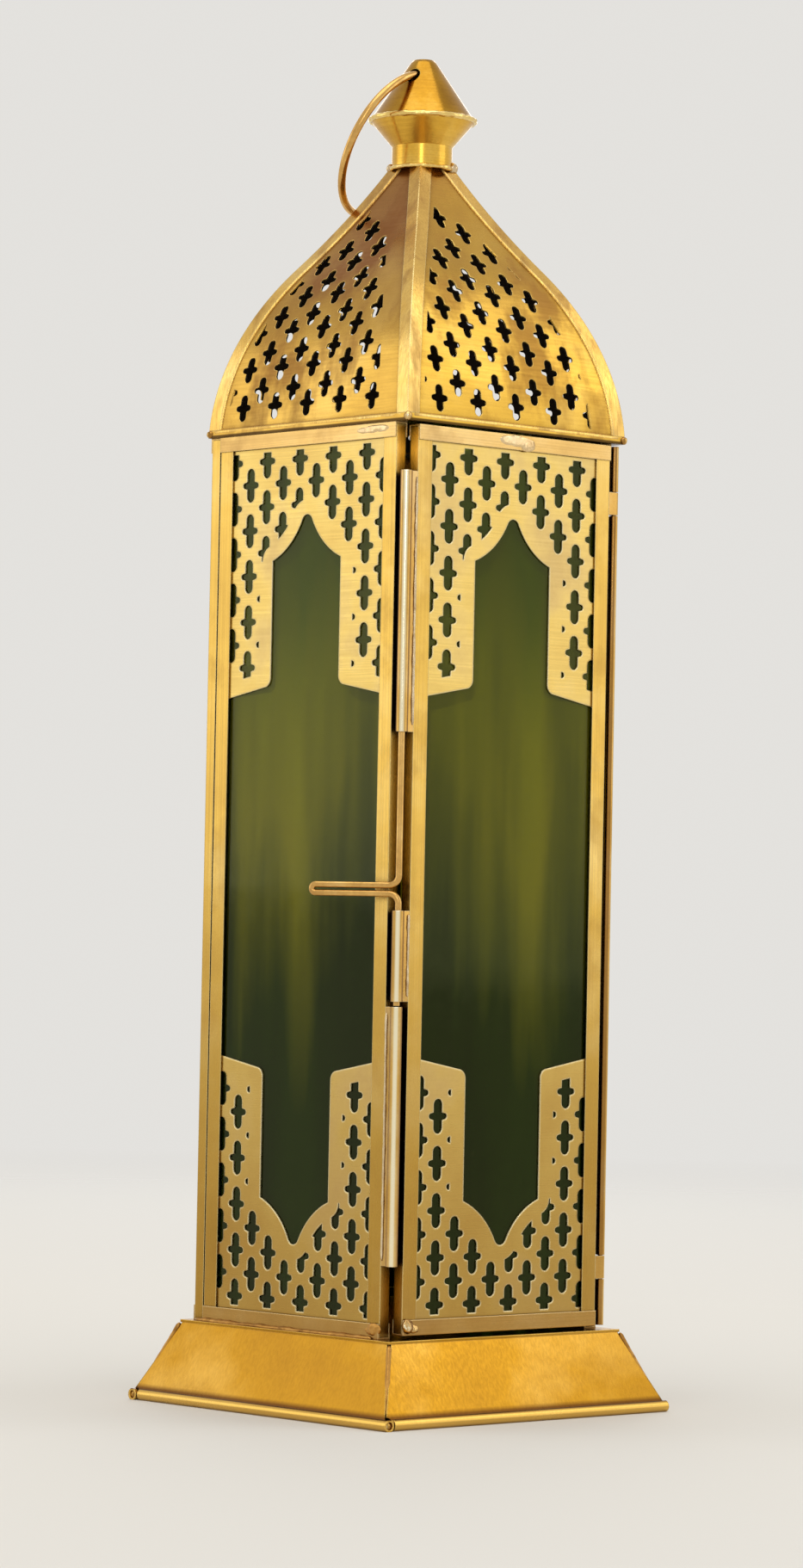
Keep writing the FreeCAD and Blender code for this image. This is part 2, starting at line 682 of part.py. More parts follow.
def make_roof_seat():
    """A flat square frame on top of the panels, which carries the roof."""
    half = "(roof_half - roof_thick - slack - seat_thick * tan(roof_lean * 1 deg))"
    outer = box("roof_seat_plate", f"2 * {half}", f"2 * {half}", "seat_thick")
    place(outer, f"-{half}", f"-{half}", "panel_top")
    inside = f"({half} - seat_width)"
    inner = box("roof_seat_opening", f"2 * {inside}", f"2 * {inside}", "3 * seat_thick")
    place(inner, f"-{inside}", f"-{inside}", "panel_top - seat_thick")
    keep(joined("Part::Cut", "roof_seat", outer, inner), "roof_seat")


def make_finial():
    """Collar, funnel and cone, with two holes in the cone for the hanging ring."""
    wall = "finial_wall"
    collar = turned("collar", [
        ("collar_hole", "0"), ("collar_radius", "0"), ("collar_radius", "collar_height"),
        (f"collar_radius - {wall}", "collar_height"), (f"collar_radius - {wall}", wall),
        ("collar_hole", wall)])
    place(collar, z="roof_top")
    keep(collar, "finial_collar")
    funnel = turned("funnel", [
        (f"collar_radius - {wall}", "0"), ("collar_radius", "0"), ("finial_radius", "funnel_height"),
        ("finial_radius - rim_wall", "funnel_height")])
    place(funnel, z="collar_top")
    keep(funnel, "finial_funnel")
    cone = turned("cone", [
        ("0", "cone_height"), ("cone_top - tip_bevel", "cone_height"),
        ("cone_top", "cone_height - tip_bevel"),
        ("finial_radius", "lip_height"), ("finial_radius + lip_thick", "lip_height"),
        ("finial_radius + lip_thick", "0"), ("finial_radius - rim_wall", "0"),
        (f"cone_top - {wall}", f"cone_height - tip_bevel - {wall}"), ("0", f"cone_height - {wall}")])
    place(cone, z="rim_top")
    drill = cylinder("ring_drill", "ring_wire / 2 + ring_play", "2 * finial_radius")
    turn = "ring_turn * 1 deg"
    lean = "ring_lean * 1 deg"
    heading = Rotation(UP, size("ring_turn"))
    place(drill, f"-finial_radius * cos({turn})", f"-finial_radius * sin({turn})", "ring_axis",
          heading.multiply(Rotation(Vector(0, 1, 0), 90)))
    keep(joined("Part::Cut", "finial_cone", cone, drill), "finial_cone")
    ring = doc.addObject("Part::Torus", "hanging_ring")
    ring.setExpression("Radius1", bound("ring_radius"))
    ring.setExpression("Radius2", bound("ring_wire / 2"))
    out = f"ring_arm * cos({lean})"
    place(ring, f"-{out} * sin({turn})", f"{out} * cos({turn})", f"ring_axis - ring_arm * sin({lean})",
          heading.multiply(Rotation(ACROSS, -size("ring_lean"))))
    keep(ring, "hanging_ring")


# Latch and hinge


def make_tube(label, low, length, on_door):
    """A tube rolled from strip, whose flat leaf is soldered to the edge of a panel."""
    reach = "bolt_axis - latch_edge"
    outer = cylinder(label + "_roll", "tube_outer / 2", length)
    bore = cylinder(label + "_bore", "tube_bore / 2", length)
    for piece in (outer, bore):
        place(piece, "-bolt_axis", "-bolt_axis", low)
    spans = (reach, "leaf_thick") if on_door else ("leaf_thick", reach)
    leaf = box(label + "_leaf", *spans, length)
    corner = ("-bolt_axis", "-body_half") if on_door else ("-body_half", "-bolt_axis")
    place(leaf, *corner, low)
    rolled = joined("Part::Fuse", label + "_strip", outer, leaf)
    keep(joined("Part::Cut", label, rolled, bore), label)


def make_bolt():
    """The bolt: one wire, bent out into a finger loop between its two guides."""
    axis = -size("bolt_axis")
    tip = size("keeper_top") + size("tip_clear")
    bend = size("bend_radius")
    low_leg = size("guide_top") + size("bolt_lift") + bend
    high_leg = low_leg + size("loop_gap")
    top = size("upper_low") + size("bolt_hidden")
    end = size("loop_length") - size("loop_gap") / 2
    middle = (low_leg + high_leg) / 2
    corner = bend * (1 - math.sqrt(0.5))
    heading = math.radians(180 - size("loop_turn"))

    def spot(out, rise):
        return Vector(axis + out * math.cos(heading), axis + out * math.sin(heading), rise)

    path = [
        Part.LineSegment(spot(0, tip), spot(0, low_leg - bend)),
        Part.Arc(spot(0, low_leg - bend), spot(corner, low_leg - corner), spot(bend, low_leg)),
        Part.LineSegment(spot(bend, low_leg), spot(end, low_leg)),
        Part.Arc(spot(end, low_leg), spot(size("loop_length"), middle), spot(end, high_leg)),
        Part.LineSegment(spot(end, high_leg), spot(bend, high_leg)),
        Part.Arc(spot(bend, high_leg), spot(corner, high_leg + corner), spot(0, high_leg + bend)),
        Part.LineSegment(spot(0, high_leg + bend), spot(0, top)),
    ]
    wire = Part.Wire([edge.toShape() for edge in path])
    section = Part.Wire(Part.makeCircle(size("bolt_wire") / 2, spot(0, tip), UP))
    shaped("latch_bolt", wire.makePipeShell([section], True, False))


def knuckle(low, high, on_door):
    """A hinge knuckle with the leaf that joins it to the door or to the right panel."""
    axis = size("hinge_axis")
    spot = Vector(axis, -axis, low)
    reach = axis - size("hinge_edge")
    thick = size("leaf_thick")
    face = size("body_half")
    if on_door:
        leaf = Part.makeBox(reach, thick, high - low, Vector(axis - reach, -face, low))
    else:
        leaf = Part.makeBox(thick, reach, high - low, Vector(face - thick, -axis, low))
    roll = Part.makeCylinder(size("barrel_outer") / 2, high - low, spot, UP)
    bore = Part.makeCylinder(size("knuckle_bore"), high - low, spot, UP)
    return roll.fuse(leaf).cut(bore)


def make_hinge():
    """Short knuckles on the door between long ones on the frame, all on one pin."""
    low = size("door_base")
    high = low + size("door_height")
    tall = size("knuckle_height")
    inset = size("knuckle_inset")
    gap = size("knuckle_gap")
    spans = [(low + inset, low + inset + tall), (high - inset - tall, high - inset)]
    shaped("door_knuckles", Part.makeCompound([knuckle(*span, True) for span in spans]))
    fixed = [(low, spans[0][0] - gap), (spans[0][1] + gap, spans[1][0] - gap), (spans[1][1] + gap, high)]
    shaped("frame_knuckles", Part.makeCompound([knuckle(*span, False) for span in fixed]))
    pin = cylinder("hinge_pin", "pin_diameter / 2", "door_height")
    place(pin, "hinge_axis", "-hinge_axis", "door_base")
    keep(pin, "hinge_pin")


make_skirts()
make_floor()
for panel, (left, right, low, height, turn) in panels.items():
    make_channels(panel, left, right, low, height, turn)
    make_glass(panel, left, right, low, height, turn)
    make_frets(panel, left, right, low, height, turn)
make_roof_seat()
roof_curve = RoofCurve()
make_petals(roof_curve)
make_ribs(roof_curve)
make_finial()
make_tube("keeper_tube", "keeper_low", "keeper_length", False)
make_tube("lower_guide_tube", "guide_low", "guide_length", True)
make_tube("upper_guide_tube", "upper_low", "upper_length", True)
make_bolt()
make_hinge()
doc.recompute()

failed = [item.Label for item in doc.Objects if "Invalid" in item.State or "Error" in item.State]
failed += [item.Label for item in pieces if item.Shape.isNull() or not item.Shape.isValid()]
if failed:
    raise RuntimeError("these pieces did not build: " + ", ".join(failed))

os.makedirs("parts", exist_ok=True)
for piece in pieces:
    piece.Shape.exportStep(f"parts/{piece.Label}.step")
    print(piece.Label, len(piece.Shape.Solids), round(piece.Shape.Volume, 2))
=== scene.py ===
import bpy
import math
from mathutils import Matrix, Vector


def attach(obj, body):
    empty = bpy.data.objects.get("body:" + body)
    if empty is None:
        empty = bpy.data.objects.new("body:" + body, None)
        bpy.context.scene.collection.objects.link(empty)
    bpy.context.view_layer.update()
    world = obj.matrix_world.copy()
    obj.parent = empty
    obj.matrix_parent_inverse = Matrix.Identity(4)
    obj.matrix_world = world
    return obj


# Candle lantern in antique brass and green glass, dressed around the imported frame. Metres.

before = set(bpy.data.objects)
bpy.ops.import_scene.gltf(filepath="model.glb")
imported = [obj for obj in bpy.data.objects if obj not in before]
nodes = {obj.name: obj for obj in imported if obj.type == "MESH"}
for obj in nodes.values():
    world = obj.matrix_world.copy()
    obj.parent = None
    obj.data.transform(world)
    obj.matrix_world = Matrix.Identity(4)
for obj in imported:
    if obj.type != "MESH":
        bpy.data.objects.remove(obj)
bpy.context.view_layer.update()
print("frame loaded,", len(nodes), "nodes")


# Camera, at the photograph's angle

cameraSet = {
    "place": (-0.9772, -1.0660, 0.1378),
    "yaw": 42.413,      # degrees from +Y towards +X
    "pitch": 1.829,     # looks up a little
    "roll": 1.11,       # the lantern leans to the right in the picture
    "lens": 111.8,
}


def makeCamera(look):
    yaw, pitch, roll = (math.radians(look[key]) for key in ("yaw", "pitch", "roll"))
    ahead = Vector((math.sin(yaw) * math.cos(pitch), math.cos(yaw) * math.cos(pitch), math.sin(pitch)))
    right = Vector((math.cos(yaw), -math.sin(yaw), 0))
    up = right.cross(ahead)
    across = right * math.cos(roll) + up * math.sin(roll)
    upright = up * math.cos(roll) - right * math.sin(roll)
    bpy.ops.object.camera_add()
    camera = bpy.context.object
    camera.data.lens = look["lens"]
    turn = Matrix((across, upright, -ahead)).transposed().to_4x4()
    camera.matrix_world = Matrix.Translation(look["place"]) @ turn
    bpy.context.scene.camera = camera


# Node helpers

def addNode(tree, kind, settings=None, **traits):
    made = tree.nodes.new("ShaderNode" + kind)
    for key, value in traits.items():
        setattr(made, key, value)
    for socket, value in (settings or {}).items():
        if isinstance(value, bpy.types.NodeSocket):
            tree.links.new(value, made.inputs[socket])
        else:
            made.inputs[socket].default_value = value
    return made


def noise(tree, where, scale, detail, roughness):
    made = addNode(tree, "TexNoise", {"Vector": where, "Scale": scale, "Detail": detail,
                                      "Roughness": roughness})
    return made.outputs["Fac"]


def stretched(tree, where, scale, turn=(0, 0, 0)):
    made = addNode(tree, "Mapping", {"Vector": where, "Scale": scale, "Rotation": turn})
    return made.outputs["Vector"]


def ramp(tree, factor, stops):
    made = addNode(tree, "ValToRGB", {"Fac": factor})
    band = made.color_ramp
    for index, (place, colour) in enumerate(stops):
        stop = band.elements[index] if index < 2 else band.elements.new(place)
        stop.position = place
        stop.color = colour
    return made.outputs["Color"]


def remap(tree, value, lowIn, highIn, lowOut, highOut):
    made = addNode(tree, "MapRange", {"Value": value, "From Min": lowIn, "From Max": highIn,
                                      "To Min": lowOut, "To Max": highOut})
    return made.outputs["Result"]


def maths(tree, operation, first, second):
    made = addNode(tree, "Math", {0: first, 1: second}, operation=operation)
    return made.outputs[0]


def mixed(tree, factor, first, second, mode="MIX"):
    made = addNode(tree, "Mix", {0: factor, 6: first, 7: second}, data_type="RGBA", blend_type=mode)
    return made.outputs[2]


def aligned(tree, first, second):
    made = addNode(tree, "VectorMath", {0: first, 1: second}, operation="DOT_PRODUCT")
    return made.outputs["Value"]


def outward(tree, where):  # level, and away from the lantern's axis
    made = addNode(tree, "VectorMath", {0: where, 1: (1.0, 1.0, 0.0)}, operation="MULTIPLY")
    return made.outputs["Vector"]


# Floor and soft studio light

studioSet = {
    "floorRadius": 4.0,
    "floorSides": 64,
    "floorTone": (222, 219, 213),
    "floorRough": 0.9,
    "floorGloss": 0.1,
    "fade": (0.45, 1.7),    # where the floor starts to melt into the air, and where it is gone
    "airTone": (236, 234, 230),
    "airStrength": 0.92,
    # name: place, size, power in watts
    "lamps": {
        "keyBox": ((0.95, -1.05, 0.55), (0.7, 0.9), 1.25),
        "fillBox": ((-0.95, 1.05, 0.60), (0.7, 0.9), 1.6),
        "topBox": ((-0.3, -0.3, 1.6), (1.3, 1.3), 7.0),
        "backBox": ((0.9, 1.0, 0.8), (0.8, 0.8), 3.0),
        "frontStrip": ((-1.3, -1.3, 0.8), (0.3, 0.9), 2.4),
        "roofBox": ((1.13, -0.74, 1.16), (0.6, 0.7), 1.4),
    },
    "aim": (0.0, 0.0, 0.2),
}


def tone(red, green, blue):  # a colour as a paint chart gives it, 0 to 255, made linear for a shader
    def linear(part):
        return ((part / 255 + 0.055) / 1.055) ** 2.4 if part > 10 else part / 255 / 12.92
    return (linear(red), linear(green), linear(blue), 1.0)


def makeStudio(look):
    bpy.ops.object.select_all(action="DESELECT")
    bpy.ops.mesh.primitive_circle_add(radius=look["floorRadius"], vertices=look["floorSides"],
                                      fill_type="NGON")
    floor = bpy.context.object
    floor.name = "studioFloor"
    paint = bpy.data.materials.new("floorPaint")
    paint.use_nodes = True
    tree = paint.node_tree
    shader = tree.nodes["Principled BSDF"]
    shader.inputs["Base Color"].default_value = tone(*look["floorTone"])
    shader.inputs["Roughness"].default_value = look["floorRough"]
    shader.inputs["Specular IOR Level"].default_value = look["floorGloss"]
    where = addNode(tree, "TexCoord").outputs["Object"]
    away = addNode(tree, "VectorMath", {0: where}, operation="LENGTH").outputs["Value"]
    tree.links.new(remap(tree, away, *look["fade"], 1.0, 0.0), shader.inputs["Alpha"])
    floor.data.materials.append(paint)
    world = bpy.data.worlds.new("studioAir")
    world.use_nodes = True
    sky = world.node_tree.nodes["Background"]
    sky.inputs["Color"].default_value = tone(*look["airTone"])
    sky.inputs["Strength"].default_value = look["airStrength"]
    bpy.context.scene.world = world
    for name, (place, spread, power) in look["lamps"].items():
        bpy.ops.object.light_add(type="AREA", location=place)
        lamp = bpy.context.object
        lamp.name = name
        lamp.data.shape = "RECTANGLE"
        lamp.data.size, lamp.data.size_y = spread
        lamp.data.energy = power
        apart = Vector(place) - Vector(look["aim"])
        lamp.rotation_euler = apart.to_track_quat("Z", "Y").to_euler()


makeCamera(cameraSet)
makeStudio(studioSet)
bpy.context.scene.view_settings.view_transform = "Standard"
print("studio ready")


# Brass finishes

# what every finish has, unless its own settings say otherwise
brassBase = {
    "stainScale": (38, 38, 38),
    "stainSpan": (0.52, 0.66),
    "grainTurn": (0, 0, 0),
    "mottle": 0.3,
    "mottleScale": 1300.0,
    "wearAndGlintSpan": (0.995, 0.88),      # how far an edge turns away before it is rubbed bright and given a painted highlight
    "dirtAndShadeReach": 0.003,
    "dirtAndShadeFrom": (0.66, 0.15),
    "dirtAndShade": 0.75,
    "dirtAndShadeTone": (70, 44, 20),
    "shadeBandDepth": 0.9,
    "flankShadeDepth": 0.75,
    "crownHighlightDepth": 0.9,
    "relief": 0.12,
    "reliefDepth": 0.0003,
}


def agedBrass(name, ownLook):
    look = {**brassBase, **ownLook}
    material = bpy.data.materials.new(name)
    material.use_nodes = True
    tree = material.node_tree
    shader = tree.nodes["Principled BSDF"]
    spot = addNode(tree, "TexCoord")
    where = spot.outputs["Object"]
    height = addNode(tree, "SeparateXYZ", {0: where}).outputs["Z"]
    base, dark, light = (tone(*look[key]) for key in ("base", "dark", "light"))
    # slow drift of the colour, then brown stains with soft edges
    drift = noise(tree, where, 1 / look["driftSize"], 4.0, 0.6)
    colour = ramp(tree, drift, [(0.3, mixTone(base, dark, 0.35)), (0.7, mixTone(base, light, 0.3)),
                                (0.5, base)])
    stains = noise(tree, stretched(tree, where, look["stainScale"]), 1.0, 5.0, 0.6)
    stained = remap(tree, stains, *look["stainSpan"], 0.0, look["stain"])
    colour = mixed(tree, stained, colour, dark)
    # patina that deepens up or down the piece
    if "fadeFrom" in look:
        wander = maths(tree, "ADD", height, remap(tree, stains, 0.3, 0.7, -0.015, 0.015))
        deep = remap(tree, wander, look["fadeFrom"], look["fadeTo"], 0.0, look["fade"])
        colour = mixed(tree, deep, colour, tone(*look["fadeTone"]))
    # brushed lines and a fine grain
    brushed = stretched(tree, where, look["grain"], look["grainTurn"])
    lines = noise(tree, brushed, 1.0, 2.0, 0.5)
    shade = ramp(tree, lines, [(0.34, (0.74, 0.70, 0.64, 1)), (0.68, (1.1, 1.1, 1.08, 1))])
    colour = mixed(tree, look["grainDepth"], colour, shade, "MULTIPLY")
    fine = noise(tree, where, look["mottleScale"], 2.0, 0.6)
    mottle = ramp(tree, fine, [(0.32, (0.78, 0.74, 0.68, 1)), (0.62, (1.05, 1.05, 1.04, 1))])
    colour = mixed(tree, look["mottle"], colour, mottle, "MULTIPLY")
    # edges rubbed bright, partly real wear and partly a painted highlight along every edge; dirt and painted
    # shade where sheets meet
    rounded = addNode(tree, "Bevel", {"Radius": look["edge"]}, samples=4)
    facing = addNode(tree, "NewGeometry").outputs["Normal"]
    along = aligned(tree, rounded.outputs["Normal"], facing)
    wornAndGlinting = remap(tree, along, *look["wearAndGlintSpan"], 0.0, look["wearAndGlint"])
    colour = mixed(tree, wornAndGlinting, colour, light)
    # dirt and painted shade: the colour darkens where occlusion finds nearby surfaces, in seams, gaps and
    # beside ribs and tubes
    shelter = addNode(tree, "AmbientOcclusion", {"Distance": look["dirtAndShadeReach"]}, samples=4)
    dirtAndShade = remap(tree, shelter.outputs["AO"], *look["dirtAndShadeFrom"], 0.0, look["dirtAndShade"])
    colour = mixed(tree, dirtAndShade, colour, tone(*look["dirtAndShadeTone"]))
    if "paintedHighlightBelow" in look:  # the bead along the foot's bottom painted lighter, a painted highlight
        start, full, share = look["paintedHighlightBelow"]
        colour = mixed(tree, remap(tree, height, start, full, 0.0, share), colour, light)
    if "line" in look:  # painted shade: a dark band at one height, in a groove or under a rim
        low, full, fall, clear = look["line"]
        rising = remap(tree, height, low, full, 0.0, look["shadeBandDepth"])
        falling = remap(tree, height, fall, clear, look["shadeBandDepth"], 0.0)
        shadeBand = maths(tree, "MINIMUM", rising, falling)
        colour = mixed(tree, shadeBand, colour, tone(*look["lineTone"]))
    if "paintedCrownHighlight" in look:  # a tube given a painted highlight on the side away from the lantern, and painted shade on its flanks
        away = addNode(tree, "VectorMath", {0: outward(tree, where)}, operation="NORMALIZE").outputs["Vector"]
        turned = aligned(tree, spot.outputs["Normal"], away)
        shadedFlank, start, full = look["paintedCrownHighlight"]
        colour = mixed(tree, remap(tree, turned, start, shadedFlank, 0.0, look["flankShadeDepth"]), colour, dark)
        colour = mixed(tree, remap(tree, turned, start, full, 0.0, look["crownHighlightDepth"]), colour, light)
    smooth, dull = look["rough"]
    polish = remap(tree, stained, 0.0, 0.5, smooth, dull)
    rough = maths(tree, "ADD", polish, remap(tree, lines, 0.3, 0.7, 0.05, -0.05))
    if "soot" in look:  # the face turned to the candle
        turned = aligned(tree, spot.outputs["Normal"], outward(tree, where))
        sooty = remap(tree, turned, 0.0, -0.002, 0.0, 1.0)
        colour = mixed(tree, sooty, colour, tone(*look["soot"]))
        rough = maths(tree, "MAXIMUM", rough, maths(tree, "MULTIPLY", sooty, 0.9))
        bare = remap(tree, sooty, 0.0, 1.0, 1.0, 0.2)
        tree.links.new(bare, shader.inputs["Metallic"])
    else:
        shader.inputs["Metallic"].default_value = 1.0
    tree.links.new(colour, shader.inputs["Base Color"])
    tree.links.new(rough, shader.inputs["Roughness"])
    surface = maths(tree, "ADD", lines, maths(tree, "MULTIPLY", fine, 0.4))
    relief = addNode(tree, "Bump", {"Height": surface, "Strength": look["relief"],
                                    "Distance": look["reliefDepth"], "Normal": rounded.outputs["Normal"]})
    tree.links.new(relief.outputs["Normal"], shader.inputs["Normal"])
    return material


def mixTone(first, second, share):
    return tuple(a + (b - a) * share for a, b in zip(first, second))


footward = {"fadeFrom": 0.17, "fadeTo": 0.025, "fade": 0.6, "fadeTone": (152, 108, 38)}
roofSheet = {
    "stainScale": (45, 45, 22), "grain": (90, 90, 1500), "grainDepth": 0.18, "mottle": 0.12, "relief": 0.04,
    "driftSize": 0.04, "edge": 0.0005, "wearAndGlint": 0.85, "soot": (44, 31, 16),
    "line": (0.2850, 0.2855, 0.2866, 0.2870), "lineTone": (60, 36, 14),
    "dirtAndShadeReach": 0.003, "dirtAndShadeFrom": (0.94, 0.6), "dirtAndShade": 0.85, "dirtAndShadeTone": (88, 52, 20),
}
brassLooks = {
    "footBrass": {
        "base": (181, 131, 32), "dark": (140, 93, 28), "light": (250, 208, 112), "driftSize": 0.06,
        "stain": 0.22, "stainScale": (15, 15, 38), "grain": (1500, 1500, 18), "grainTurn": (0.7, 0.7, 0.0),
        "grainDepth": 0.11, "mottle": 0.02, "edge": 0.0004, "wearAndGlint": 0.8, "rough": (0.22, 0.31),
        "relief": 0.015,
        "dirtAndShadeFrom": (0.8, 0.35), "dirtAndShade": 0.85, "dirtAndShadeReach": 0.002, "dirtAndShadeTone": (84, 48, 16),
        "line": (0.0030, 0.0032, 0.0037, 0.0050), "lineTone": (88, 50, 18),
        "paintedHighlightBelow": (0.0032, 0.0029, 0.55),
    },
    "stileBrass": {
        "base": (216, 176, 84), "dark": (160, 116, 52), "light": (255, 234, 168), "driftSize": 0.05,
        "stain": 0.3, "grain": (3200, 3200, 14), "grainDepth": 0.22, "mottle": 0.12, "edge": 0.0004,
        "wearAndGlint": 0.9,
        # the near-black tone below paints shade into the gap beside the door's stile
        "rough": (0.24, 0.36), "relief": 0.04, "dirtAndShadeReach": 0.008, "dirtAndShadeFrom": (0.72, 0.42), "dirtAndShade": 0.95,
        "dirtAndShadeTone": (34, 20, 8), **footward,
    },
    "railBrass": {
        "base": (220, 180, 108), "dark": (166, 124, 72), "light": (252, 228, 172), "driftSize": 0.03,
        "stain": 0.4, "grain": (14, 14, 3200), "grainDepth": 0.25, "mottle": 0.15, "edge": 0.0004,
        "wearAndGlint": 0.8,
        "rough": (0.28, 0.44), "relief": 0.04, **footward,
    },
    "fretBrass": {
        "base": (221, 189, 106), "dark": (176, 130, 62), "light": (255, 244, 198), "driftSize": 0.05,
        "stain": 0.4, "stainScale": (20, 20, 20), "grain": (40, 40, 2600), "grainDepth": 0.06,
        "mottle": 0.1,
        "edge": 0.0008, "wearAndGlint": 0.9, "rough": (0.3, 0.4), "relief": 0.03, **footward,
    },
    "petalGold": {
        "base": (214, 170, 68), "dark": (146, 98, 42), "light": (252, 218, 128), "stain": 0.6,
        "rough": (0.24, 0.4), "fadeFrom": 0.322, "fadeTo": 0.365, "fade": 0.6, "fadeTone": (164, 112, 52),
        **roofSheet,
    },
    "petalBrown": {
        "base": (212, 168, 74), "dark": (132, 88, 42), "light": (250, 212, 124), "stain": 0.6,
        "rough": (0.24, 0.42), "fadeFrom": 0.305, "fadeTo": 0.345, "fade": 0.8, "fadeTone": (144, 90, 44),
        **roofSheet,
    },
    "ribBrass": {
        "base": (236, 192, 100), "dark": (160, 116, 60), "light": (255, 236, 170), "driftSize": 0.03,
        "stain": 0.5, "stainScale": (140, 140, 40), "grain": (1900, 1900, 45), "grainDepth": 0.5,
        "mottle": 0.15,
        "edge": 0.0005, "wearAndGlint": 0.85, "rough": (0.24, 0.38), "relief": 0.06,
        "fadeFrom": 0.332, "fadeTo": 0.37, "fade": 0.6, "fadeTone": (184, 138, 74),
    },
    "finialBrass": {
        "base": (182, 134, 40), "dark": (124, 80, 26), "light": (252, 216, 116), "driftSize": 0.02,
        "stain": 0.3, "grain": (20, 20, 2200), "grainDepth": 0.3, "edge": 0.0004, "wearAndGlint": 0.7,
        "rough": (0.17, 0.28), "relief": 0.05,
    },
    # the rest of the finial: a brighter copy of the cone's brass, a painted reflection
    "funnelReflectionBrass": {
        "base": (234, 184, 72), "dark": (168, 116, 42), "light": (255, 232, 146), "driftSize": 0.02,
        "stain": 0.3, "grain": (20, 20, 2200), "grainDepth": 0.3, "edge": 0.0004, "wearAndGlint": 0.7,
        "rough": (0.2, 0.32), "relief": 0.05,
    },
    "wireBrass": {
        "base": (228, 182, 106), "dark": (160, 112, 56), "light": (255, 234, 180), "driftSize": 0.02,
        "stain": 0.3, "grain": (400, 400, 400), "grainDepth": 0.25, "edge": 0.0002, "wearAndGlint": 0.5,
        "rough": (0.18, 0.32), "relief": 0.06,
    },
    "tubeBrass": {
        "base": (228, 184, 98), "dark": (142, 96, 42), "light": (255, 246, 212), "driftSize": 0.03,
        "stain": 0.3, "stainScale": (90, 90, 30), "grain": (900, 900, 60), "grainDepth": 0.14,
        "edge": 0.0003,
        "wearAndGlint": 0.7, "rough": (0.12, 0.22), "relief": 0.04, "dirtAndShadeReach": 0.005, "dirtAndShadeFrom": (0.8, 0.4),
        "dirtAndShade": 0.7,
        "dirtAndShadeTone": (78, 46, 18), "paintedCrownHighlight": (0.5, 0.9, 0.985),
    },
    "paleSolder": {
        "base": (226, 204, 166), "dark": (176, 140, 98), "light": (252, 244, 224), "driftSize": 0.006,
        "stain": 0.6, "stainScale": (260, 260, 260), "grain": (500, 500, 500), "grainDepth": 0.3,
        "edge": 0.0002,
        "wearAndGlint": 0.3, "rough": (0.26, 0.46), "relief": 0.2,
    },
    "smearSolder": {
        "base": (236, 206, 154), "dark": (196, 156, 100), "light": (252, 240, 214), "driftSize": 0.006,
        "stain": 0.5, "stainScale": (150, 150, 150), "grain": (300, 300, 300), "grainDepth": 0.2,
        "edge": 0.0002,
        "wearAndGlint": 0.3, "rough": (0.24, 0.4), "relief": 0.1,
    },
    "seamSolder": {
        "base": (190, 140, 70), "dark": (120, 82, 40), "light": (232, 188, 112), "driftSize": 0.006,
        "stain": 0.6, "stainScale": (260, 260, 260), "grain": (500, 500, 500), "grainDepth": 0.3,
        "edge": 0.0002,
        "wearAndGlint": 0.3, "rough": (0.34, 0.5), "relief": 0.2,
    },
    "hemBrass": {
        "base": (246, 212, 126), "dark": (196, 148, 70), "light": (255, 240, 190), "driftSize": 0.01,
        "stain": 0.25, "stainScale": (200, 200, 200), "grain": (700, 700, 700), "grainDepth": 0.3,
        "edge": 0.0002,
        "wearAndGlint": 0.5, "rough": (0.18, 0.28), "relief": 0.06,
    },
}
brass = {name: agedBrass(name, look) for name, look in brassLooks.items()}


# Green glass

glassLook = {
    # height on the lantern, and the tint there, part lacquer and part painted reflection
    "lacquerAndReflectionTints": [(0.120, (40, 64, 14)), (0.182, (142, 140, 40)),
              (0.222, (136, 138, 38)), (0.258, (84, 100, 22))],
    "streak": (62, 62, 5),      # upright bands in the lacquer, partly painted reflections of bright streaks
    "streakAndReflectionDepth": 0.85,
    "wander": 0.035,            # how far the tints wander up and down with the bands
    "roughness": (0.04, 0.14),
    "ior": 1.45,
    "see": 0.84,
    "gloss": 0.1,
    "glossTone": (196, 202, 100),
    "dustTone": (156, 150, 104),
    "grimeAndShadowReach": 0.005,        # how far from a plate's edge grime and painted shadow lie on the pane
    "grimeAndShadowTone": (20, 24, 8),
}


